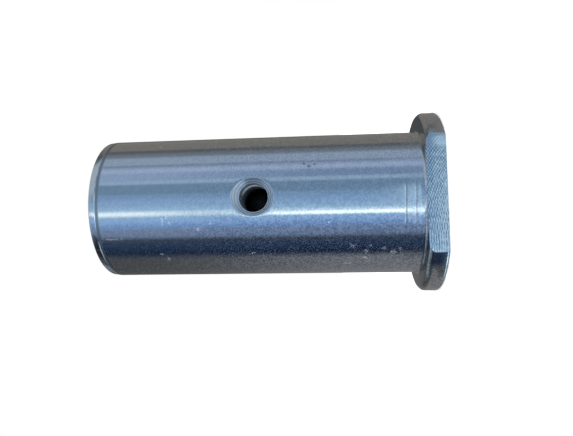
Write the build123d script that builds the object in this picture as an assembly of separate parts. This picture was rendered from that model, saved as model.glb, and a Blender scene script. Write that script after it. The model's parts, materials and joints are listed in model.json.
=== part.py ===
from build123d import *

from math import radians, tan
import os

# Sprocket pin: a stout plain shank with a thin round head, turned from one steel bar. The head
# has one flat milled on its rim, which keeps the pin from turning, and a countersunk cross hole
# is drilled into the shank on the same side. Millimetres. The origin is the centre of the head's
# outer face, +Z runs up the shank to the free end, and the flat and the hole face -Y.

# Shank
SHANK_DIAMETER = 50.0
SHANK_LENGTH = 111.0
LEAD_IN_LENGTH = 2.4
LEAD_IN_DEPTH = 0.3

# Head
HEAD_DIAMETER = 63.0
HEAD_THICKNESS = 6.3
HEAD_SHOULDER_CHAMFER = 1.2
HEAD_OUTER_CHAMFER = 0.6

# Flat on the head: how far it stands outside the shank's surface, and its broken edges
FLAT_STEP = 0.25
FLAT_EDGE_BREAK = 0.15

# Cross hole: halfway along the shank, down to the shank's axis
CROSS_HOLE_DIAMETER = 9.5
CROSS_HOLE_DEPTH = 25.0
COUNTERSINK_DIAMETER = 14.0
COUNTERSINK_ANGLE = 90.0
DRILL_POINT_ANGLE = 118.0

# A cutter reaches this far past the surface that it opens
CUTTER_MARGIN = 5.0

shank_radius = SHANK_DIAMETER / 2
head_radius = HEAD_DIAMETER / 2
overall_length = HEAD_THICKNESS + SHANK_LENGTH
flat_distance = shank_radius + FLAT_STEP
hole_radius = CROSS_HOLE_DIAMETER / 2
countersink_radius = COUNTERSINK_DIAMETER / 2
hole_height = HEAD_THICKNESS + SHANK_LENGTH / 2


def turned_blank():
    """The pin as it leaves the lathe: head, shank and the slight lead-in at the free end."""
    half_section = Polyline(
        (0, 0),
        (head_radius - HEAD_OUTER_CHAMFER, 0),
        (head_radius, HEAD_OUTER_CHAMFER),
        (head_radius, HEAD_THICKNESS - HEAD_SHOULDER_CHAMFER),
        (head_radius - HEAD_SHOULDER_CHAMFER, HEAD_THICKNESS),
        (shank_radius, HEAD_THICKNESS),
        (shank_radius, overall_length - LEAD_IN_LENGTH),
        (shank_radius - LEAD_IN_DEPTH, overall_length),
        (0, overall_length),
        close=True,
    )
    return revolve(Plane.XZ * make_face(half_section), Axis.Z)


def flat_cutter():
    """What the mill takes off the head's rim: one segment, with its two straight edges broken
    by less than the flat's step, so that the shank isn't touched."""
    clear_of_rim = -head_radius - CUTTER_MARGIN
    edge_break = min(FLAT_EDGE_BREAK, 0.6 * FLAT_STEP)
    section = Polyline(
        (clear_of_rim, -CUTTER_MARGIN),
        (edge_break - flat_distance, -CUTTER_MARGIN),
        (edge_break - flat_distance, 0),
        (-flat_distance, edge_break),
        (-flat_distance, HEAD_THICKNESS - edge_break),
        (edge_break - flat_distance, HEAD_THICKNESS),
        (edge_break - flat_distance, HEAD_THICKNESS + CUTTER_MARGIN),
        (clear_of_rim, HEAD_THICKNESS + CUTTER_MARGIN),
        close=True,
    )
    return extrude(Plane.YZ * make_face(section), amount=HEAD_DIAMETER, both=True)


def cross_hole_cutter():
    """The drill and countersink as one turned cutter, its mouth at z = 0 and its tip below."""
    countersink_slope = tan(radians(COUNTERSINK_ANGLE / 2))
    countersink_depth = (countersink_radius - hole_radius) / countersink_slope
    point_length = hole_radius / tan(radians(DRILL_POINT_ANGLE / 2))
    half_section = Polyline(
        (0, CUTTER_MARGIN),
        (countersink_radius + CUTTER_MARGIN * countersink_slope, CUTTER_MARGIN),
        (hole_radius, -countersink_depth),
        (hole_radius, -CROSS_HOLE_DEPTH),
        (0, -CROSS_HOLE_DEPTH - point_length),
        close=True,
    )
    return revolve(Plane.XZ * make_face(half_section), Axis.Z)


def sprocket_pin():
    """The finished pin: turned blank, milled flat, drilled and countersunk cross hole."""
    hole_mouth = Plane(origin=(0, -shank_radius, hole_height), x_dir=(1, 0, 0), z_dir=(0, -1, 0))
    return turned_blank() - flat_cutter() - hole_mouth * cross_hole_cutter()


os.makedirs("parts", exist_ok=True)
export_step(sprocket_pin(), "parts/sprocket_pin.step")
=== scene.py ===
import json
import logging
from collections.abc import Callable
from dataclasses import dataclass
from enum import Enum
from math import atan2, cos, degrees, hypot, pi, radians, sin, sqrt, tan

import bmesh
import bpy
from mathutils import Matrix, Vector


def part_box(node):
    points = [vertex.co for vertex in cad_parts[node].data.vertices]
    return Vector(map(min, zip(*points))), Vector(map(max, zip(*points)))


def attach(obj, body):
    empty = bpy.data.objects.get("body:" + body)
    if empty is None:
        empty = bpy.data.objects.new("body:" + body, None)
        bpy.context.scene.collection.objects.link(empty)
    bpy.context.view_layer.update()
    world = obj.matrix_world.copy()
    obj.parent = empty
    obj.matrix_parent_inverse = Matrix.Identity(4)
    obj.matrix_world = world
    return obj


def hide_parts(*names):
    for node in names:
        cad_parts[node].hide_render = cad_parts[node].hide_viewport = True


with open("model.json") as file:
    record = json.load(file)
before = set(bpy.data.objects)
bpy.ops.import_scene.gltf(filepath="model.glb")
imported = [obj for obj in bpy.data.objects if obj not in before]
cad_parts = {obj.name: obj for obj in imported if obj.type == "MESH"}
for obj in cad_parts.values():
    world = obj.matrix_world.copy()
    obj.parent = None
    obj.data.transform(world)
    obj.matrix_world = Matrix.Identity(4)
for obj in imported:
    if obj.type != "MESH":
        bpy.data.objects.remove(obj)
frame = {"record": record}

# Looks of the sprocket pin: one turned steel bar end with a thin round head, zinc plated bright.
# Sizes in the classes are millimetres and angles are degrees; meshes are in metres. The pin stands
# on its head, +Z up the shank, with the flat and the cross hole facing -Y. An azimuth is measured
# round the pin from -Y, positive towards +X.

log = logging.getLogger("sprocket_pin")

# Short names for the types that most functions here take
Tree = bpy.types.NodeTree
Socket = bpy.types.NodeSocket
BMesh = bmesh.types.BMesh
BMEdge = bmesh.types.BMEdge
# The two node types that are used most
MATH = "ShaderNodeMath"
MAP_RANGE = "ShaderNodeMapRange"

MM = 0.001
PIN_NODE = "sprocket_pin"
MOUNTS = {mount["name"]: mount for mount in frame["record"]["mounts"]}
SHANK_RADIUS = MOUNTS["shank"]["dims"]["r_mm"]
HOLE = MOUNTS["cross_hole"]
# The head is turned this much smaller than the solid's box, so that rounding never takes it outside
BOX_CLEARANCE = 0.001
# Vertices closer together than this become one, and those this close to a cut lie on it
MERGE_DISTANCE = 0.001
CUT_DISTANCE = 0.0001
# What lies this share of the shank's radius out, or more, belongs to its wall
ON_WALL = 0.98
# Most of a noise texture's values lie between these two
NOISE_SPAN = (0.3, 0.7)


class Zone(Enum):
    """The tool that cut a face, which decides the finish it wears. The value is its material slot."""

    TURNED = 0
    MILLED = 1
    COUNTERSUNK = 2
    DRILLED = 3


def linear(hex_colour: str, strength: float = 1.0) -> tuple[float, float, float, float]:
    """Turns an sRGB hex colour to the linear values that a shader takes.

    Args:
        hex_colour: The colour as "#rrggbb".
        strength: A factor on the linear values, over 1 for light.

    Returns:
        Red, green and blue, with an alpha of 1.
    """
    parts = [int(hex_colour[i:i + 2], 16) / 255 for i in (1, 3, 5)]
    flat = [p / 12.92 if p <= 0.04045 else ((p + 0.055) / 1.055) ** 2.4 for p in parts]
    return (*(strength * p for p in flat), 1.0)


def add_node(
    tree: Tree, kind: str, inputs: dict[int | str, object] | None = None, **settings: object,
) -> bpy.types.Node:
    """Adds one node with its settings, values and links.

    Args:
        tree: The node tree that gets the node.
        kind: The node's type name.
        inputs: For each input's name or number, an output socket to link or a value to set.
        **settings: The node's own properties, such as operation.

    Returns:
        The new node.
    """
    node = tree.nodes.new(kind)
    for name, value in settings.items():
        setattr(node, name, value)
    for key, value in (inputs or {}).items():
        if isinstance(value, Socket):
            tree.links.new(value, node.inputs[key])
        else:
            node.inputs[key].default_value = value
    return node


def azimuth_of(tree: Tree, x: Socket, y: Socket) -> Socket:
    """Gives the azimuth of a place or a direction, in radians."""
    forward = add_node(tree, MATH, {0: y, 1: -1.0}, operation="MULTIPLY")
    return add_node(tree, MATH, {0: x, 1: forward.outputs[0]}, operation="ARCTAN2").outputs[0]


def band(
    tree: Tree, value: Socket, centre: float, inner: float, outer: float,
    shares: tuple[float, float] = (1.0, 0.0), fade: str = "LINEAR",
) -> Socket:
    """Finds where a value lies within a band on both sides of a centre.

    Args:
        tree: The node tree.
        value: Socket with the value.
        centre: The value in the middle of the band.
        inner: How far from the centre the band starts to fade.
        outer: How far from the centre it has faded.
        shares: What it gives inside and outside.
        fade: How it goes from the one to the other.

    Returns:
        The socket with the share.
    """
    away = add_node(tree, MATH, {0: value, 1: centre}, operation="SUBTRACT")
    distance = add_node(tree, MATH, {0: away.outputs[0]}, operation="ABSOLUTE")
    return add_node(
        tree, MAP_RANGE,
        {"Value": distance.outputs[0], "From Min": inner, "From Max": outer,
         "To Min": shares[0], "To Max": shares[1]},
        interpolation_type=fade,
    ).outputs[0]


@dataclass(frozen=True)
class Panel:
    """One soft-edged field of light or shade round the pin, as the metal reflects it.

    It is centred at turn, counted round from the camera's side. From the elevation low to the
    elevation high its share goes from low_share to high_share.
    """

    name: str
    turn: float
    half_width: float
    softness: float
    colour: str
    strength: float = 1.0
    low: float = -90.0
    high: float = 90.0
    low_share: float = 1.0
    high_share: float = 1.0

    def over(
        self, tree: Tree, turn: Socket, elevation: Socket, under: Socket | tuple[float, ...],
    ) -> Socket:
        """Lays the panel over what is behind it.

        Args:
            tree: The world's node tree.
            turn: Socket with the direction's azimuth from the camera's side, in degrees.
            elevation: Socket with the direction's elevation, in degrees.
            under: The colour behind the panel, as a socket or linear values.

        Returns:
            The socket with the colour after the panel is laid over.
        """
        away = add_node(tree, MATH, {0: turn, 1: self.turn}, operation="SUBTRACT")
        wrapped = add_node(tree, MATH, {0: away.outputs[0], 1: 180.0, 2: -180.0}, operation="WRAP")
        distance = add_node(tree, MATH, {0: wrapped.outputs[0]}, operation="ABSOLUTE")
        across = add_node(
            tree, MAP_RANGE,
            {"Value": distance.outputs[0], "From Min": self.half_width - self.softness,
             "From Max": self.half_width + self.softness, "To Min": 1.0, "To Max": 0.0},
            interpolation_type="SMOOTHSTEP",
        )
        upwards = add_node(
            tree, MAP_RANGE,
            {"Value": elevation, "From Min": self.low, "From Max": self.high,
             "To Min": self.low_share, "To Max": self.high_share},
            interpolation_type="SMOOTHSTEP",
        )
        share = add_node(
            tree, MATH, {0: across.outputs[0], 1: upwards.outputs[0]}, operation="MULTIPLY",
        )
        mixed = add_node(
            tree, "ShaderNodeMix", {0: share.outputs[0], 6: under, 7: linear(self.colour, self.strength)},
            data_type="RGBA", label=self.name,
        )
        return mixed.outputs[2]


@dataclass
class Studio:
    """A light tent in pale blue with one key strip, a dark side and a warm side, over a pale floor."""

    camera_side: float = -7.2
    room: str = "#555554"
    backdrop: str = "#ffffff"
    floor_light: float = 1.9
    floor_radius: float = 3000.0
    floor_colour: str = "#f2f2f1"
    # Each panel lies over those before it. First come the bands of the shank's upper half.
    panels: tuple[Panel, ...] = (
        Panel("sky", 25, 74, 5, "#98a8c1"),
        Panel("high sky", 84, 10, 4, "#a1b1c2"),
        Panel("grey sky", 101, 7, 4, "#7d848b"),
        Panel("corner", 109, 5, 5, "#66696b"),
        Panel("warm wall", 139, 26, 3, "#86817a"),
        Panel("lavender sheet", 64, 5, 3, "#b1c1da"),
        Panel("curtain line", 74.5, 1.6, 1.4, "#8592a8"),
        Panel("pale sheet", 50, 10, 3, "#9fb4d0"),
        Panel("blue shade", 52, 7, 3, "#859bb7", 1.0, -4, 24, 1, 0),
        Panel("thin sheet", 43, 3, 1.5, "#a8bfd5"),
        # The middle and its white line of light, which is wider at the collar beside the head
        Panel("blue dusk", 18, 12, 5, "#8baaca"),
        Panel("dusk sheet", 31, 8.5, 2, "#7d99b2"),
        Panel("blue glow", 6, 8, 5, "#9bbbdd"),
        Panel("blue side", -27, 10, 6, "#8bacd6"),
        Panel("lower glow", -21, 5, 4, "#9fc2ee"),
        Panel("grey side", -42, 8, 5, "#8697b2"),
        Panel("glow", -8, 9, 8, "#b5d9f3"),
        Panel("key strip", -9, 3.5, 3, "#f4ffff", 1.35, 15, 23, 0.5, 1),
        Panel("key strip foot", -12, 2, 2, "#f4ffff", 2.4, 2, 13, 1, 0),
        Panel("collar glow", -14, 17, 6, "#c6e2f8", 1.1, -8.9, -7.9, 1, 0),
        Panel("collar strip", -12, 4.5, 3, "#f4ffff", 1.6, -8.7, -7.7, 1, 0),
        # The dark band and the grey one below it
        Panel("dark side", -78, 25, 13, "#30435e"),
        Panel("darkest corner", -79, 8, 9, "#243147"),
        Panel("room side", -131, 42, 8, "#555554"),
        Panel("floor glow", -131, 42, 8, "#8a8785", 1.0, -6, 22, 1, 0),
        # What mostly the head's rim, the flat, the countersink and the free end reflect
        Panel("low wall", -97, 12, 4, "#58595c", 1.0, -12, -8, 1, 0),
        Panel("warm low wall", 118, 27, 3, "#86817a", 1.0, -11, -9, 1, 0),
        Panel("bench glow", 15, 13, 6, "#bed9ea", 1.15, -11, -5, 1, 0),
        Panel("grey doorway", 170, 13, 5, "#4b4f4f", 1.0, -4, 4, 0, 1),
        Panel("pale loft", 60, 34, 12, "#b9c3cb", 1.0, 27, 33, 0, 1),
        Panel("black loft", -82, 20, 8, "#262b2f", 1.0, 27, 33, 0, 1),
        Panel("side lamp", -155, 32, 8, "#8d9aa5", 1.0, 24, 36, 0, 1),
        Panel("dark loft", 126, 24, 18, "#4a5355", 1.0, 29, 39, 0, 0.8),
        Panel("low lamp", -92, 28, 12, "#d4ecf6", 1.9, -38, -13, 1, 0),
        Panel("overhead", 0, 200, 1, "#bcc6d2", 1.0, 42, 64, 0, 1),
        Panel("underfoot", 0, 200, 1, "#c9d3dd", 1.0, -65, -40, 1, 0),
    )

    def light(self) -> None:
        """Makes the world: the tent for reflections, soft white for the floor, and a white backdrop."""
        world = bpy.data.worlds.new("studio_tent")
        world.use_nodes = True
        # Rays find the tent by reflection alone, so that the floor and the metal each get their own light
        world.cycles.sampling_method = "NONE"
        bpy.context.scene.world = world
        tree = world.node_tree
        tree.nodes.clear()
        direction = add_node(tree, "ShaderNodeTexCoord")
        axes = add_node(tree, "ShaderNodeSeparateXYZ", {0: direction.outputs["Generated"]})
        azimuth = azimuth_of(tree, axes.outputs[0], axes.outputs[1])
        turn = add_node(
            tree, MATH, {0: azimuth, 1: degrees(1), 2: -self.camera_side},
            operation="MULTIPLY_ADD",
        )
        rise = add_node(tree, MATH, {0: axes.outputs[2]}, operation="ARCSINE")
        elevation = add_node(tree, MATH, {0: rise.outputs[0]}, operation="DEGREES")
        colour = linear(self.room)
        for panel in self.panels:
            colour = panel.over(tree, turn.outputs[0], elevation.outputs[0], colour)
        ray = add_node(tree, "ShaderNodeLightPath")
        softened = add_node(
            tree, "ShaderNodeMix",
            {0: ray.outputs["Is Diffuse Ray"], 6: colour, 7: linear(self.backdrop, self.floor_light)},
            data_type="RGBA",
        )
        backed = add_node(
            tree, "ShaderNodeMix",
            {0: ray.outputs["Is Camera Ray"], 6: softened.outputs[2], 7: linear(self.backdrop)},
            data_type="RGBA",
        )
        background = add_node(tree, "ShaderNodeBackground", {"Color": backed.outputs[2]})
        add_node(tree, "ShaderNodeOutputWorld", {"Surface": background.outputs[0]})
        bpy.context.scene.view_settings.view_transform = "Standard"
        log.info("studio: %d panels of light and shade", len(self.panels))

    def floor(self) -> bpy.types.Object:
        """Lays the pale floor that the pin stands on.

        Returns:
            The floor's object.
        """
        bm = bmesh.new()
        bmesh.ops.create_circle(bm, cap_ends=True, segments=64, radius=self.floor_radius * MM)
        mesh = bpy.data.meshes.new("floor")
        bm.to_mesh(mesh)
        bm.free()
        # Matt white board: no gloss, so it only catches the pin's soft shadow
        board = bpy.data.materials.new("matt white board")
        board.use_nodes = True
        board.node_tree.nodes.clear()
        matt = add_node(board.node_tree, "ShaderNodeBsdfDiffuse", {"Color": linear(self.floor_colour)})
        add_node(board.node_tree, "ShaderNodeOutputMaterial", {"Surface": matt.outputs[0]})
        mesh.materials.append(board)
        floor = bpy.data.objects.new("floor", mesh)
        # The metal mirrors the tent and not the board, as on a pin photographed clear of its table
        floor.visible_glossy = False
        bpy.context.scene.collection.objects.link(floor)
        log.info("floor: %.0f mm across", 2 * self.floor_radius)
        return floor


@dataclass(frozen=True)
class Camera:
    """The camera at the photograph's angle. The picture's top is the pin's +X side."""

    place: tuple[float, float, float] = (-23.764, -188.738, 34.963)
    aim: tuple[float, float, float] = (-4.701, 0.036, 53.096)
    picture_up: tuple[float, float, float] = (1.0, 0.0, -0.0107)
    lens: float = 32.489
    sensor: float = 36.0

    def make(self) -> bpy.types.Object:
        """Makes the scene's camera.

        Returns:
            The camera's object.
        """
        data = bpy.data.cameras.new("camera")
        data.lens = self.lens
        data.sensor_width = self.sensor
        data.clip_start = 1 * MM
        place = Vector(self.place) * MM
        back = (place - Vector(self.aim) * MM).normalized()
        right = Vector(self.picture_up).cross(back).normalized()
        turn = Matrix((right, back.cross(right), back)).transposed()
        camera = bpy.data.objects.new("camera", data)
        camera.matrix_world = Matrix.Translation(place) @ turn.to_4x4()
        bpy.context.scene.collection.objects.link(camera)
        bpy.context.scene.camera = camera
        log.info("camera: %.1f mm lens", self.lens)
        return camera


# Bright zinc plate is thin and level, so it shows what the tool left on the steel below. Its blue
# passivation tints every reflection a cold pale blue.
@dataclass(frozen=True)
class PlatedSteel:
    """What the finishes share: the plate's colour, and how a finish starts and ends."""

    name: str = "bright zinc plated steel"
    colour: str = "#d3d9e0"
    shade: str = "#bcc5d0"
    depth: float = 0.02

    def start(self) -> tuple[bpy.types.Material, Tree, Socket]:
        """Starts the material.

        Returns:
            The material, its emptied node tree and the Object coordinates socket.
        """
        material = bpy.data.materials.new(self.name)
        material.use_nodes = True
        tree = material.node_tree
        tree.nodes.clear()
        return material, tree, add_node(tree, "ShaderNodeTexCoord").outputs["Object"]

    def close(
        self, tree: Tree, layers: list[tuple[Socket, str]], roughness: Socket, height: Socket,
        bare: Socket | float = 1.0,
    ) -> None:
        """Ends the material with its colours and its shader.

        Args:
            tree: The material's node tree.
            layers: What lies over the metal's own colour, from below: a socket with the share, and a colour.
            roughness: Socket with the roughness.
            height: Socket with the height of the marks, as a factor on their depth.
            bare: Share of clean metal, as a value or a socket. The rest is a dull pale film.
        """
        colour = linear(self.colour)
        for share, over in layers:
            colour = add_node(
                tree, "ShaderNodeMix", {0: share, 6: colour, 7: linear(over)}, data_type="RGBA",
            ).outputs[2]
        bump = add_node(
            tree, "ShaderNodeBump", {"Height": height, "Distance": self.depth * MM, "Strength": 1.0},
        )
        shader = add_node(
            tree, "ShaderNodeBsdfPrincipled",
            {"Base Color": colour, "Metallic": bare, "Roughness": roughness, "Normal": bump.outputs[0]},
        )
        add_node(tree, "ShaderNodeOutputMaterial", {"Surface": shader.outputs[0]})


@dataclass(frozen=True)
class Mark:
    """A mark on the shank: where it is, half its size round and along the pin, and its depth."""

    azimuth: float
    height: float
    around: float
    along: float
    depth: float = 0.0

    def nearness(self, around: float, along: float) -> float:
        """Gives how far a point is from the mark's centre, where 1 is its edge."""
        return hypot(around / self.around, along / self.along)


# The dents, scuffs and scratches that the photograph shows, and the two dark spots near the head
SCUFFS = (
    Mark(-53.5, 25.6, 1.1, 0.9, 0.06),
    Mark(-47.0, 16.3, 1.2, 1.5, 0.05),
    Mark(-45.6, 25.4, 0.8, 0.7, 0.05),
    Mark(-40.5, 29.6, 0.9, 1.2, 0.04),
    Mark(-40.7, 23.8, 0.7, 0.6, 0.04),
    Mark(-44.2, 14.4, 0.8, 0.7, 0.04),
    Mark(-43.0, 19.5, 0.6, 1.0, 0.02),
    Mark(-60.0, 31.0, 0.5, 1.6, 0.02),
    Mark(-20.2, 37.2, 0.5, 0.7, 0.02),
    Mark(52.2, 95.3, 0.6, 0.6, 0.03),
    Mark(61.2, 62.1, 0.5, 0.8, 0.03),
    Mark(-46.0, 94.2, 0.5, 0.9, 0.03),
    Mark(-51.3, 92.3, 0.9, 0.7, 0.04),
    Mark(-46.0, 62.6, 0.6, 0.7, 0.03),
    Mark(-16.9, 92.0, 1.4, 0.4, 0.03),
    Mark(-15.0, 90.8, 1.0, 0.35, 0.02),
    Mark(-18.5, 89.5, 0.5, 0.8, 0.02),
    Mark(-19.2, 76.0, 0.5, 0.8, 0.025),
    Mark(-23.7, 80.2, 0.7, 1.0, 0.025),
    Mark(-31.0, 109.6, 0.32, 4.8, 0.02),
)
STAINS = (
    Mark(23.2, 43.3, 0.8, 1.0),
    Mark(25.1, 45.0, 0.6, 0.7),
    Mark(24.6, 41.6, 0.4, 0.5),
)


@dataclass(frozen=True)
class PaintedShadeLine:
    """A turned line darkened with painted shade: where it is, how dark it is painted and how that looks.

    The painted shade is centred on the azimuth side. It fades between the turns side_inner and side_outer
    from there, and as the fields stand it goes all the way round.
    """

    height: float
    half_width: float
    share: float
    colour: str
    roughness: float
    side: float = 0.0
    side_inner: float = 180.0
    side_outer: float = 181.0


# Zinc plated turned steel: the eye gets long crisp bands of reflected light along the shank, broken
# by a fine speckle where the plate is worn dull, and pale chips where something struck it.
@dataclass(frozen=True)
class TurnedFinish(PlatedSteel):
    """Turned face: almost a mirror at the free end, with fine rings and grain towards the head."""

    name: str = "bright zinc plated turned steel"
    shade: str = "#a5afbc"
    smooth_from: float = 96.0
    grained_below: float = 60.0
    smooth_share: float = 0.4
    worn_side: float = -45.0
    worn_inner: float = 16.0
    worn_outer: float = 48.0
    other_side_share: float = 0.4
    collar_height: float = 12.75
    collar_softness: float = 0.1
    mirror_roughness: float = 0.09
    grain_roughness: float = 0.1
    collar_roughness: float = 0.15
    ring_pitch: float = 0.7
    ring_wander: float = 60.0
    grain_size: float = 0.7
    grain_weight: float = 0.5
    cloud_size: float = 1.8
    cloud_weight: float = 0.5
    spots_span: tuple[float, float] = (0.62, 0.88)
    depth: float = 0.003
    film_size: float = 0.4
    pits_span: tuple[float, float] = (0.48, 0.66)
    film_share: float = 0.04
    film_tint: float = 0.45
    film: str = "#9dbfe8"
    film_above: float = 7.0
    film_edge: float = 0.5
    scuff_film: float = 0.085
    scuff: str = "#dfe6ea"
    stain: str = "#5b5a52"
    stain_share: float = 0.6
    raggedness: float = 3.0
    ragged_span: tuple[float, float] = (1.9, 2.4)
    line_core: float = 0.4
    # Painted shade in the turned lines: all round at the free end, and by the head only where the white line
    # of light falls
    painted_shade_lines: tuple[PaintedShadeLine, ...] = (
        PaintedShadeLine(114.3, 0.75, 0.85, "#858f90", 0.5),
        PaintedShadeLine(12.75, 0.3, 0.5, "#39403e", 0.3, -12.0, 5.0, 23.0),
        PaintedShadeLine(9.65, 0.25, 0.35, "#39403e", 0.3, -12.0, 5.0, 23.0),
    )

    def marked(self, tree: Tree, spread: Socket, ragged: Socket, marks: tuple[Mark, ...]) -> Socket:
        """Finds where the marks of one kind lie.

        Args:
            tree: The material's node tree.
            spread: Socket with the place on the unrolled shank: round it and up it, in millimetres.
            ragged: Socket with a fine noise that breaks the marks' edges.
            marks: The marks.

        Returns:
            The socket with 1 inside the marks and 0 outside.
        """
        nearest = None
        for mark in marks:
            scale = (1 / mark.around, 1 / mark.along, 0.0)
            place = (radians(mark.azimuth) * SHANK_RADIUS, mark.height)
            shift = (-place[0] * scale[0], -place[1] * scale[1], 0.0)
            local = add_node(
                tree, "ShaderNodeVectorMath", {0: spread, 1: scale, 2: shift}, operation="MULTIPLY_ADD",
            )
            away = add_node(tree, "ShaderNodeVectorMath", {0: local.outputs[0]}, operation="LENGTH")
            nearest = away.outputs[1] if nearest is None else add_node(
                tree, MATH, {0: nearest, 1: away.outputs[1]}, operation="MINIMUM",
            ).outputs[0]
        broken = add_node(
            tree, MATH, {0: ragged, 1: self.raggedness, 2: nearest}, operation="MULTIPLY_ADD",
        )
        inside = add_node(
            tree, MAP_RANGE,
            {"Value": broken.outputs[0], "From Min": self.ragged_span[0], "From Max": self.ragged_span[1],
             "To Min": 1.0, "To Max": 0.0},
        )
        return inside.outputs[0]

    def material(self) -> bpy.types.Material:
        """Builds the material.

        Returns:
            The turned finish.
        """
        material, tree, place = self.start()
        axes = add_node(tree, "ShaderNodeSeparateXYZ", {0: place}).outputs
        height = axes[2]
        azimuth = azimuth_of(tree, axes[0], axes[1])
        around = add_node(tree, MATH, {0: azimuth, 1: SHANK_RADIUS}, operation="MULTIPLY")
        up = add_node(tree, MATH, {0: height, 1: 1 / MM}, operation="MULTIPLY")
        spread = add_node(tree, "ShaderNodeCombineXYZ", {0: around.outputs[0], 1: up.outputs[0]}).outputs[0]
        lengthwise = add_node(
            tree, MAP_RANGE,
            {"Value": height, "From Min": self.grained_below * MM, "From Max": self.smooth_from * MM,
             "To Min": 1.0, "To Max": self.smooth_share},
            interpolation_type="SMOOTHSTEP",
        )
        worn = band(
            tree, azimuth, radians(self.worn_side), radians(self.worn_inner), radians(self.worn_outer),
            (1.0, self.other_side_share), "SMOOTHSTEP",
        )
        grained = add_node(
            tree, MATH, {0: lengthwise.outputs[0], 1: worn}, operation="MULTIPLY",
        ).outputs[0]
        # Feed marks of the lathe are some 0.2 mm apart. They are drawn 0.7 mm apart, the finest that shows.
        scale = tuple(1 / (size * MM) for size in (self.ring_wander, self.ring_wander, self.ring_pitch))
        rings_at = add_node(tree, "ShaderNodeVectorMath", {0: place, 1: scale}, operation="MULTIPLY")
        rings = add_node(
            tree, "ShaderNodeTexNoise", {"Vector": rings_at.outputs[0], "Scale": 1.0, "Detail": 1.0},
        )
        # Grain of the plate over the marks, drawn 1 to 2 pixels of the picture wide, and its soft clouds
        grain, clouds = (
            add_node(
                tree, "ShaderNodeTexNoise", {"Vector": place, "Scale": 1 / (size * MM), "Detail": 1.0},
            ).outputs[0]
            for size in (self.grain_size, self.cloud_size)
        )
        both = add_node(
            tree, MATH, {0: grain, 1: self.grain_weight, 2: rings.outputs[0]},
            operation="MULTIPLY_ADD",
        )
        relief = add_node(tree, MATH, {0: both.outputs[0], 1: grained}, operation="MULTIPLY")
        base = add_node(
            tree, MAP_RANGE,
            {"Value": lengthwise.outputs[0], "From Min": self.smooth_share, "From Max": 1.0,
             "To Min": self.mirror_roughness, "To Max": self.grain_roughness},
        )
        collar = add_node(
            tree, MAP_RANGE,
            {"Value": height, "From Min": (self.collar_height - self.collar_softness) * MM,
             "From Max": self.collar_height * MM, "To Min": 1.0, "To Max": 0.0},
        )
        rough = add_node(
            tree, "ShaderNodeMix", {0: collar.outputs[0], 2: base.outputs[0], 3: self.collar_roughness},
        ).outputs[0]
        mottled = add_node(
            tree, MATH, {0: clouds, 1: self.cloud_weight, 2: grain}, operation="MULTIPLY_ADD",
        )
        spots = add_node(
            tree, MAP_RANGE,
            {"Value": mottled.outputs[0], "From Min": self.spots_span[0], "From Max": self.spots_span[1]},
        ).outputs[0]
        shade_share = add_node(tree, MATH, {0: spots, 1: grained}, operation="MULTIPLY")
        # The dull film lies in fine pits, mostly on the worn side, and stands out in dark reflections. The
        # pits are drawn 0.4 mm wide, just over a pixel of the picture.
        fine = add_node(
            tree, "ShaderNodeTexNoise", {"Vector": place, "Scale": 1 / (self.film_size * MM), "Detail": 0.0},
        )
        pits = add_node(
            tree, MAP_RANGE,
            {"Value": fine.outputs[0], "From Min": self.pits_span[0], "From Max": self.pits_span[1]},
        )
        dull = add_node(tree, MATH, {0: pits.outputs[0], 1: grained}, operation="MULTIPLY")
        off_head = add_node(
            tree, MAP_RANGE,
            {"Value": up.outputs[0], "From Min": self.film_above - self.film_edge,
             "From Max": self.film_above + self.film_edge},
        )
        dull = add_node(tree, MATH, {0: dull.outputs[0], 1: off_head.outputs[0]}, operation="MULTIPLY")
        film, tint = (
            add_node(tree, MATH, {0: dull.outputs[0], 1: share}, operation="MULTIPLY").outputs[0]
            for share in (self.film_share, self.film_tint)
        )
        scuffed = self.marked(tree, spread, grain, SCUFFS)
        film = add_node(tree, MATH, {0: scuffed, 1: self.scuff_film, 2: film}, operation="MULTIPLY_ADD")
        bare = add_node(tree, MATH, {0: 1.0, 1: film.outputs[0]}, operation="SUBTRACT")
        stained = self.marked(tree, spread, clouds, STAINS)
        stained = add_node(tree, MATH, {0: stained, 1: self.stain_share}, operation="MULTIPLY")
        layers = [
            (shade_share.outputs[0], self.shade), (tint, self.film), (scuffed, self.scuff),
            (stained.outputs[0], self.stain),
        ]
        # Painted shade along the turned lines
        for line in self.painted_shade_lines:
            inside = band(
                tree, height, line.height * MM, self.line_core * line.half_width * MM,
                line.half_width * MM, (line.share, 0.0),
            )
            facing = band(
                tree, azimuth, radians(line.side), radians(line.side_inner), radians(line.side_outer),
            )
            share = add_node(tree, MATH, {0: inside, 1: facing}, operation="MULTIPLY").outputs[0]
            layers.append((share, line.colour))
            rough = add_node(tree, "ShaderNodeMix", {0: share, 2: rough, 3: line.roughness}).outputs[0]
        self.close(tree, layers, rough, relief.outputs[0], bare.outputs[0])
        return material
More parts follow.
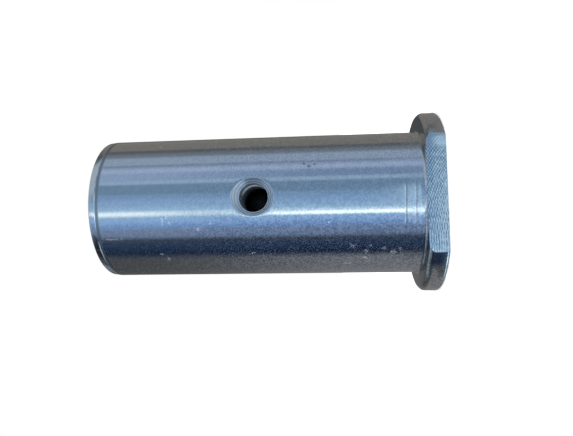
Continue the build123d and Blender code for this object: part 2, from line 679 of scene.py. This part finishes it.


# Zinc plated milled steel: the eye gets an even pale blue face that glitters in small diamonds and
# stripes, because each cutter mark tips the reflection a little. Painted shade deepens its dark points.
@dataclass(frozen=True)
class MilledFinish(PlatedSteel):
    """Milled face: two crossing sets of cutter arcs, which sparkle where they meet."""

    name: str = "bright zinc plated milled steel"
    colour: str = "#d2dbe3"
    shade: str = "#7f909f"
    cutter_radius: float = 40.0
    cutter_side: float = -17.0
    mark_pitch: float = 0.75
    mark_wander: float = 3.0
    wander_scale: float = 1.5
    painted_mark_shade: float = 0.95
    painted_shade_span: tuple[float, float] = (0.5, 1.6)
    break_size: float = 1.4
    bite_span: tuple[float, float] = (0.35, 0.6)
    weakest_bite: float = 0.4
    smooth_beyond: float = 15.2
    smooth_edge: float = 1.0
    smooth_marks: float = 0.25
    grain_size: float = 0.6
    roughness: tuple[float, float] = (0.14, 0.22)
    depth: float = 0.04

    def material(self) -> bpy.types.Material:
        """Builds the material.

        Returns:
            The milled finish.
        """
        material, tree, place = self.start()
        # Marks of a face cutter are some 0.3 mm apart. They are drawn 0.75 mm apart, the finest that shows,
        # as the scale makes the wave texture repeat once every mark_pitch. The two passes run side by side
        # at the flat's -X end and cross in diamonds towards its +X end.
        passes = []
        for side in (-1, 1):
            moved = add_node(
                tree, "ShaderNodeVectorMath",
                {0: place, 1: (self.cutter_side * MM, 0.0, side * self.cutter_radius * MM)},
                operation="SUBTRACT",
            )
            passes.append(add_node(
                tree, "ShaderNodeTexWave",
                {"Vector": moved.outputs[0], "Scale": pi / (10 * self.mark_pitch * MM),
                 "Distortion": self.mark_wander, "Detail": 1.0, "Detail Scale": self.wander_scale},
                wave_type="RINGS", rings_direction="Y", wave_profile="SIN",
            ))
        crossed = add_node(
            tree, MATH, {0: passes[0].outputs[1], 1: passes[1].outputs[1]}, operation="ADD",
        )
        along = add_node(tree, "ShaderNodeSeparateXYZ", {0: place}).outputs[0]
        kept = add_node(
            tree, MAP_RANGE,
            {"Value": along, "From Min": (self.smooth_beyond - self.smooth_edge) * MM,
             "From Max": self.smooth_beyond * MM, "To Min": 1.0, "To Max": self.smooth_marks},
        )
        # The cutter bit unevenly, so the marks fade in and out along their length
        bitten = add_node(
            tree, "ShaderNodeTexNoise",
            {"Vector": place, "Scale": 1 / (self.break_size * MM), "Detail": 2.0},
        )
        uneven = add_node(
            tree, MAP_RANGE,
            {"Value": bitten.outputs[0], "From Min": self.bite_span[0], "From Max": self.bite_span[1],
             "To Min": self.weakest_bite, "To Max": 1.0},
        )
        kept = add_node(tree, MATH, {0: kept.outputs[0], 1: uneven.outputs[0]}, operation="MULTIPLY")
        marks = add_node(tree, MATH, {0: crossed.outputs[0], 1: kept.outputs[0]}, operation="MULTIPLY")
        grain = add_node(
            tree, "ShaderNodeTexNoise",
            {"Vector": place, "Scale": 1 / (self.grain_size * MM), "Detail": 1.0},
        )
        rough = add_node(
            tree, MAP_RANGE,
            {"Value": grain.outputs[0], "From Min": NOISE_SPAN[0], "From Max": NOISE_SPAN[1],
             "To Min": self.roughness[0], "To Max": self.roughness[1]},
        )
        # Painted shade: the colour darkens in the troughs of the crossed cutter marks, for the glitter's
        # dark points
        shaded = add_node(
            tree, MAP_RANGE,
            {"Value": crossed.outputs[0], "From Min": self.painted_shade_span[0], "From Max": self.painted_shade_span[1],
             "To Min": self.painted_mark_shade, "To Max": 0.0},
        )
        share = add_node(tree, MATH, {0: shaded.outputs[0], 1: kept.outputs[0]}, operation="MULTIPLY")
        self.close(tree, [(share.outputs[0], self.shade)], rough.outputs[0], marks.outputs[0])
        return material


# Zinc plated countersunk steel: the eye gets a bright ring, satin rather than glossy, with finer
# rings in it where the tool chattered.
@dataclass(frozen=True)
class CountersunkFinish(PlatedSteel):
    """Countersunk face: bright, with the tool's rings round the hole."""

    name: str = "bright zinc plated countersunk steel"
    colour: str = "#cbd8e3"
    shade: str = "#97a6b5"
    ring_pitch: float = 0.75
    ring_wander: float = 0.8
    roughness: tuple[float, float] = (0.35, 0.3)
    film_share: float = 0.1
    depth: float = 0.025

    def material(self) -> bpy.types.Material:
        """Builds the material.

        Returns:
            The countersunk finish.
        """
        material, tree, place = self.start()
        moved = add_node(
            tree, "ShaderNodeVectorMath", {0: place, 1: (0.0, 0.0, HOLE["pos_m"][2])}, operation="SUBTRACT",
        )
        # Chatter rings some 0.3 mm apart are drawn 0.75 mm apart, the finest that shows
        rings = add_node(
            tree, "ShaderNodeTexWave",
            {"Vector": moved.outputs[0], "Scale": pi / (10 * self.ring_pitch * MM),
             "Distortion": self.ring_wander, "Detail": 1.0, "Detail Scale": 1.0},
            wave_type="RINGS", rings_direction="Y", wave_profile="SIN",
        )
        rough = add_node(
            tree, MAP_RANGE,
            {"Value": rings.outputs[1], "To Min": self.roughness[0], "To Max": self.roughness[1]},
        )
        shaded = add_node(tree, MAP_RANGE, {"Value": rings.outputs[1], "To Min": 1.0, "To Max": 0.0})
        self.close(
            tree, [(shaded.outputs[0], self.shade)], rough.outputs[0], rings.outputs[1],
            1.0 - self.film_share,
        )
        return material


# Thinly plated drilled steel: the eye gets a grey wall that goes black inwards, with one bright arc.
# The black deep in the bore is painted shade, and the bright arc is a painted highlight.
@dataclass(frozen=True)
class DrilledFinish(PlatedSteel):
    """Drilled face: plate hardly reaches into the bore, so it is dull and bare, with painted shade inwards.
    """

    name: str = "thinly plated drilled steel"
    colour: str = "#74879a"
    # The near black shade is painted shade deep in the bore, and the bright colour is a painted highlight
    shade: str = "#131517"
    bright: str = "#eefaff"
    painted_shade_from: float = 14.0
    painted_shade_full: float = 18.0
    ring_depth: float = 7.2
    ring_half_width: float = 1.9
    ring_core: float = 0.5
    arc_side: tuple[float, float] = (0.5, 3.5)
    mouth: float = -SHANK_RADIUS
    streak_width: float = 0.5
    streak_length: float = 5.0
    streak_reach: float = 4.0
    roughness: tuple[float, float] = (0.3, 0.5)
    film_share: float = 0.6
    depth: float = 0.02

    def material(self) -> bpy.types.Material:
        """Builds the material.

        Returns:
            The drilled finish.
        """
        material, tree, place = self.start()
        axes = add_node(tree, "ShaderNodeSeparateXYZ", {0: place}).outputs
        inward = axes[1]
        # Streaks left by the drill as it was drawn out, drawn 0.5 mm wide, which is about their real width
        scale = tuple(1 / (size * MM) for size in (self.streak_width, self.streak_length, self.streak_width))
        streaks_at = add_node(tree, "ShaderNodeVectorMath", {0: place, 1: scale}, operation="MULTIPLY")
        streaks = add_node(
            tree, "ShaderNodeTexNoise", {"Vector": streaks_at.outputs[0], "Scale": 1.0, "Detail": 1.0},
        ).outputs[0]
        # The streaks end at different depths, so the painted shade's start is ragged and up to 4 mm less
        # deep
        ragged = add_node(
            tree, MATH, {0: streaks, 1: self.streak_reach * MM, 2: inward},
            operation="MULTIPLY_ADD",
        )
        # Painted shade: the wall darkens towards the near black shade deeper in the bore
        dark = add_node(
            tree, MAP_RANGE,
            {"Value": ragged.outputs[0], "From Min": (self.mouth + self.painted_shade_from) * MM,
             "From Max": (self.mouth + self.painted_shade_full) * MM},
        )
        # A painted highlight: a bright arc on the wall's +X side, matt so that it shows its own pale colour
        painted_highlight_band = band(
            tree, inward, (self.mouth + self.ring_depth) * MM, self.ring_core * self.ring_half_width * MM,
            self.ring_half_width * MM,
        )
        side = add_node(
            tree, MAP_RANGE,
            {"Value": axes[0], "From Min": self.arc_side[0] * MM, "From Max": self.arc_side[1] * MM},
        )
        arc = add_node(tree, MATH, {0: painted_highlight_band, 1: side.outputs[0]}, operation="MULTIPLY").outputs[0]
        rough = add_node(
            tree, MAP_RANGE,
            {"Value": streaks, "From Min": NOISE_SPAN[0], "From Max": NOISE_SPAN[1],
             "To Min": self.roughness[0], "To Max": self.roughness[1]},
        )
        bare = add_node(tree, MAP_RANGE, {"Value": arc, "To Min": 1.0 - self.film_share, "To Max": 0.0})
        layers = [(dark.outputs[0], self.shade), (arc, self.bright)]
        self.close(tree, layers, rough.outputs[0], streaks, bare.outputs[0])
        return material


FINISHES = {
    Zone.TURNED: TurnedFinish(),
    Zone.MILLED: MilledFinish(),
    Zone.COUNTERSUNK: CountersunkFinish(),
    Zone.DRILLED: DrilledFinish(),
}


@dataclass(frozen=True)
class CrossHole:
    """The countersunk blind hole, grown inwards from an opening in the shank's wall."""

    radius: float = HOLE["dims"]["r_mm"]
    height: float = HOLE["pos_m"][2] / MM
    wall_radius: float = SHANK_RADIUS
    mouth_depth: float = SHANK_RADIUS - HOLE["dims"]["length_mm"]
    point_angle: float = 118.0
    opening: float = 9.0
    wall_rings: int = 6
    cone_rings: int = 6
    tool_step: float = 0.025
    edge_round: float = 0.12
    bore_steps: tuple[float, ...] = (5.0, 8.0, 12.0, 16.0, 25.0)

    def drill(self, bm: BMesh) -> None:
        """Opens the wall and grows the countersink, the bore and the drill's point.

        Args:
            bm: The pin with its flat.
        """
        half_turn = degrees(self.opening / self.wall_radius)
        inside = [f for f in bm.faces if self.in_opening(f.calc_center_median() / MM, half_turn)]
        edges = {e for f in inside for e in f.edges}
        bmesh.ops.delete(bm, geom=inside, context="FACES")
        loop = [e for e in edges if e.is_valid and e.is_boundary]
        # The wall closes in from the four-sided opening to the round rim, on the cylinder all the way
        for ring in range(1, self.wall_rings + 1):
            share = 1 / (self.wall_rings + 1 - ring)
            loop = self.grow(bm, loop, lambda place: self.towards_rim(place, share), Zone.TURNED)
        rim = loop
        for ring in range(1, self.cone_rings + 1):
            share = 1 / (self.cone_rings + 1 - ring)
            bite = self.tool_step * (ring % 2) if ring < self.cone_rings else 0.0
            loop = self.grow(
                bm, loop, lambda place: self.towards_mouth(place, share, bite), Zone.COUNTERSUNK,
            )
        mouth = loop
        for depth in self.bore_steps:
            loop = self.grow(bm, loop, lambda place: self.on_ring(place, depth), Zone.DRILLED)
        point = self.radius / tan(radians(self.point_angle / 2))
        tip = Vector((0.0, self.bore_steps[-1] - self.wall_radius + point, self.height))
        loop = self.grow(bm, loop, lambda place: tip, Zone.DRILLED)
        ends = list({v for e in loop for v in e.verts})
        bmesh.ops.remove_doubles(bm, verts=ends, dist=MERGE_DISTANCE * MM)
        bmesh.ops.recalc_face_normals(bm, faces=bm.faces[:])
        log.info("hole: %d edges round its rim, %d round its mouth", len(rim), len(mouth))
        bmesh.ops.bevel(
            bm, geom=rim + mouth, offset=self.edge_round * MM, segments=2, profile=0.5, affect="EDGES",
            clamp_overlap=True, material=Zone.COUNTERSUNK.value,
        )

    def grow(
        self, bm: BMesh, loop: list[BMEdge], move: Callable[[Vector], Vector], zone: Zone,
    ) -> list[BMEdge]:
        """Extrudes the open loop once and moves its new vertices.

        Args:
            bm: The pin's mesh.
            loop: The edges of the open loop.
            move: Gives a new vertex's place from the one it grew from, both in millimetres.
            zone: What the new faces were cut by.

        Returns:
            The edges of the new open loop.
        """
        made = bmesh.ops.extrude_edge_only(bm, edges=loop)["geom"]
        for item in made:
            if isinstance(item, bmesh.types.BMVert):
                item.co = move(item.co / MM) * MM
            if isinstance(item, bmesh.types.BMFace):
                item.material_index = zone.value
        return [item for item in made if isinstance(item, BMEdge)]

    def in_opening(self, centre: Vector, half_turn: float) -> bool:
        """Tells whether a face lies in the stretch of wall that the hole's surround replaces.

        Args:
            centre: The face's middle, in millimetres.
            half_turn: Half the stretch's width round the pin, in degrees.

        Returns:
            True inside the stretch.
        """
        turn = degrees(atan2(centre.x, -centre.y))
        on_wall = centre.xy.length > ON_WALL * self.wall_radius
        return on_wall and abs(turn) < half_turn and abs(centre.z - self.height) < self.opening

    def rim_radius(self, angle: float) -> float:
        """Works out how far from the hole's axis the 90 degree countersink meets the round wall.

        Args:
            angle: The direction round the hole's axis, 0 along +X, in radians.

        Returns:
            The distance in millimetres.
        """
        cone = self.wall_radius - self.mouth_depth - self.radius
        bow = 1 + cos(angle) ** 2
        return (sqrt(cone ** 2 - bow * (cone ** 2 - self.wall_radius ** 2)) - cone) / bow

    def towards_rim(self, place: Vector, share: float) -> Vector:
        """Moves a point of the wall towards the rim, and keeps it on the cylinder.

        Args:
            place: The point.
            share: How much of the way it moves.

        Returns:
            The new point.
        """
        up = place.z - self.height
        angle = atan2(up, place.x)
        reach = self.rim_radius(angle)
        x = place.x + (reach * cos(angle) - place.x) * share
        z = up + (reach * sin(angle) - up) * share
        return Vector((x, -sqrt(self.wall_radius ** 2 - x ** 2), z + self.height))

    def towards_mouth(self, place: Vector, share: float, bite: float) -> Vector:
        """Moves a point of the countersink towards the mouth.

        Args:
            place: The point.
            share: How much of the way it moves.
            bite: How far the tool bit into the wall there.

        Returns:
            The new point.
        """
        angle = atan2(place.z - self.height, place.x)
        outward = Vector((cos(angle), 1.0, sin(angle))).normalized()
        return place.lerp(self.on_ring(place, self.mouth_depth), share) + outward * bite

    def on_ring(self, place: Vector, depth: float) -> Vector:
        """Finds the point of the bore's wall at a depth that lies in another point's direction.

        Args:
            place: The other point.
            depth: The depth, from where the hole's axis meets the shank's surface.

        Returns:
            The point on the wall.
        """
        angle = atan2(place.z - self.height, place.x)
        out = Vector((cos(angle), 0.0, sin(angle))) * self.radius
        return out + Vector((0.0, depth - self.wall_radius, self.height))


@dataclass
class SprocketPin:
    """The pin as one piece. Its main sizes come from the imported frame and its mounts."""

    shank_radius: float = SHANK_RADIUS
    head_radius: float = min(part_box(PIN_NODE)[1].x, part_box(PIN_NODE)[1].y) / MM - BOX_CLEARANCE
    overall_length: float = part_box(PIN_NODE)[1].z / MM
    flat_distance: float = -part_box(PIN_NODE)[0].y / MM
    head_thickness: float = MOUNTS["shoulder"]["pos_m"][2] / MM
    head_outer_chamfer: float = 0.6
    head_shoulder_chamfer: float = 1.2
    outer_round: float = 0.25
    shoulder_round: float = 0.55
    foot_round: float = 1.0
    flat_edge_round: float = 0.12
    lead_in_length: float = 2.4
    lead_in_depth: float = 0.3
    end_round: float = 0.25
    turned_line_places: tuple[float, ...] = (9.65, 12.75)
    turned_line_width: float = 0.3
    turned_line_depth: float = 0.016
    end_line_width: float = 0.5
    end_line_depth: float = 0.15
    row_pitch: float = 0.5
    spin_steps: int = 360
    sharp_above: float = 24.0
    hole: CrossHole = CrossHole()

    def outline(self, bm: BMesh) -> None:
        """Draws the turned half section as a wire, from the head's face up to the free end.

        Args:
            bm: The empty mesh that gets the wire.
        """
        wall_foot = self.head_thickness + 2 * self.foot_round
        wall_top = self.overall_length - self.lead_in_length
        corners = [
            (0.0, 0.0, 0.0),
            (self.head_radius - self.head_outer_chamfer, 0.0, self.outer_round),
            (self.head_radius, self.head_outer_chamfer, self.outer_round),
            (self.head_radius, self.head_thickness - self.head_shoulder_chamfer, self.shoulder_round),
            (self.head_radius - self.head_shoulder_chamfer, self.head_thickness, self.shoulder_round),
            (self.shank_radius, self.head_thickness, self.foot_round),
            (self.shank_radius, wall_foot, 0.0),
        ]
        for place in self.turned_line_places:
            corners += self.groove(place, self.turned_line_width, self.turned_line_depth)
        corners += self.groove(wall_top, self.end_line_width, self.end_line_depth)
        corners += [
            (self.shank_radius - self.lead_in_depth, self.overall_length, self.end_round),
            (0.0, self.overall_length, 0.0),
        ]
        points = []
        for (r0, z0, rounding), (r1, z1, _) in zip(corners, corners[1:]):
            points.append((r0, z0, rounding))
            rows = max(1, round((z1 - z0) / self.row_pitch)) if wall_foot <= z0 < wall_top else 1
            for row in range(1, rows):
                share = row / rows
                points.append((r0 + (r1 - r0) * share, z0 + (z1 - z0) * share, 0.0))
        points.append(corners[-1])
        verts = [bm.verts.new((r * MM, 0.0, z * MM)) for r, z, _ in points]
        for first, second in zip(verts, verts[1:]):
            bm.edges.new((first, second))
        for rounding in sorted({p[2] for p in points if p[2]}):
            sharp = [v for v, p in zip(verts, points) if p[2] == rounding]
            bmesh.ops.bevel(
                bm, geom=sharp, offset=rounding * MM, segments=4, profile=0.5, affect="VERTICES",
                clamp_overlap=True, material=-1,
            )

    def groove(self, place: float, width: float, depth: float) -> list[tuple[float, float, float]]:
        """Works out one fine turned line in the shank's wall.

        Args:
            place: The line's height.
            width: Its width.
            depth: Its depth.

        Returns:
            The line's corners as radius, height and rounding.
        """
        wall = self.shank_radius
        return [
            (wall, place - width / 2, 0.0),
            (wall - depth, place, 0.0),
            (wall, place + width / 2, 0.0),
        ]

    def turn(self, bm: BMesh) -> None:
        """Spins the half section to the turned blank.

        Args:
            bm: The mesh with the wire outline.
        """
        bmesh.ops.spin(
            bm, geom=bm.verts[:] + bm.edges[:], cent=(0, 0, 0), axis=(0, 0, 1), dvec=(0, 0, 0), angle=2 * pi,
            space=Matrix.Identity(4), steps=self.spin_steps, use_merge=True, use_normal_flip=False,
            use_duplicate=False,
        )
        bmesh.ops.remove_doubles(bm, verts=bm.verts[:], dist=MERGE_DISTANCE * MM)
        bmesh.ops.recalc_face_normals(bm, faces=bm.faces[:])

    def mill_flat(self, bm: BMesh) -> None:
        """Mills the flat on the head's rim and breaks its edges.

        Args:
            bm: The turned blank.
        """
        cut = bmesh.ops.bisect_plane(
            bm, geom=bm.verts[:] + bm.edges[:] + bm.faces[:], dist=CUT_DISTANCE * MM,
            plane_co=(0, -self.flat_distance * MM, 0), plane_no=(0, -1, 0), clear_outer=True,
        )
        loop = [e for e in cut["geom_cut"] if isinstance(e, BMEdge)]
        face = bmesh.ops.contextual_create(bm, geom=loop)["faces"][0]
        face.material_index = Zone.MILLED.value
        bmesh.ops.recalc_face_normals(bm, faces=bm.faces[:])
        bmesh.ops.bevel(
            bm, geom=list(face.edges), offset=self.flat_edge_round * MM, segments=2, profile=0.5,
            affect="EDGES", clamp_overlap=True, material=-1,
        )

    def dent(self, bm: BMesh) -> None:
        """Presses the dents and scratches into the shank's wall.

        Args:
            bm: The milled and drilled pin.
        """
        for v in bm.verts:
            place = v.co / MM
            if place.xy.length < ON_WALL * self.shank_radius:
                continue
            turn = atan2(place.x, -place.y)
            for mark in SCUFFS:
                around = (turn - radians(mark.azimuth)) * self.shank_radius
                away = mark.nearness(around, place.z - mark.height)
                if away < 1:
                    press = mark.depth * MM * (1 - away ** 2) ** 2
                    v.co -= Vector((place.x, place.y, 0.0)).normalized() * press

    def build(self) -> bpy.types.Object:
        """Makes the pin and puts its finishes on.

        Returns:
            The pin's object, riding on the root body in place of its plain solid.
        """
        bm = bmesh.new()
        self.outline(bm)
        self.turn(bm)
        self.mill_flat(bm)
        self.hole.drill(bm)
        self.dent(bm)
        for edge in bm.edges:
            edge.smooth = edge.calc_face_angle(0.0) < radians(self.sharp_above)
        for face in bm.faces:
            face.smooth = True
        loose = sum(not edge.is_manifold for edge in bm.edges)
        mesh = bpy.data.meshes.new("pin")
        bm.to_mesh(mesh)
        bm.free()
        for zone in Zone:
            mesh.materials.append(FINISHES[zone].material())
        pin = bpy.data.objects.new("pin", mesh)
        bpy.context.scene.collection.objects.link(pin)
        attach(pin, "root")
        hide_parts(PIN_NODE)
        log.info("pin: %d faces, %d edges without two faces", len(mesh.polygons), loose)
        return pin


def main() -> None:
    """Builds the camera, the studio and the pin."""
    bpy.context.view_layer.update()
    Camera().make()
    studio = Studio()
    studio.light()
    studio.floor()
    SprocketPin().build()


if __name__ == "__main__":
    logging.basicConfig(level=logging.INFO, format="%(name)s: %(message)s")
    main()
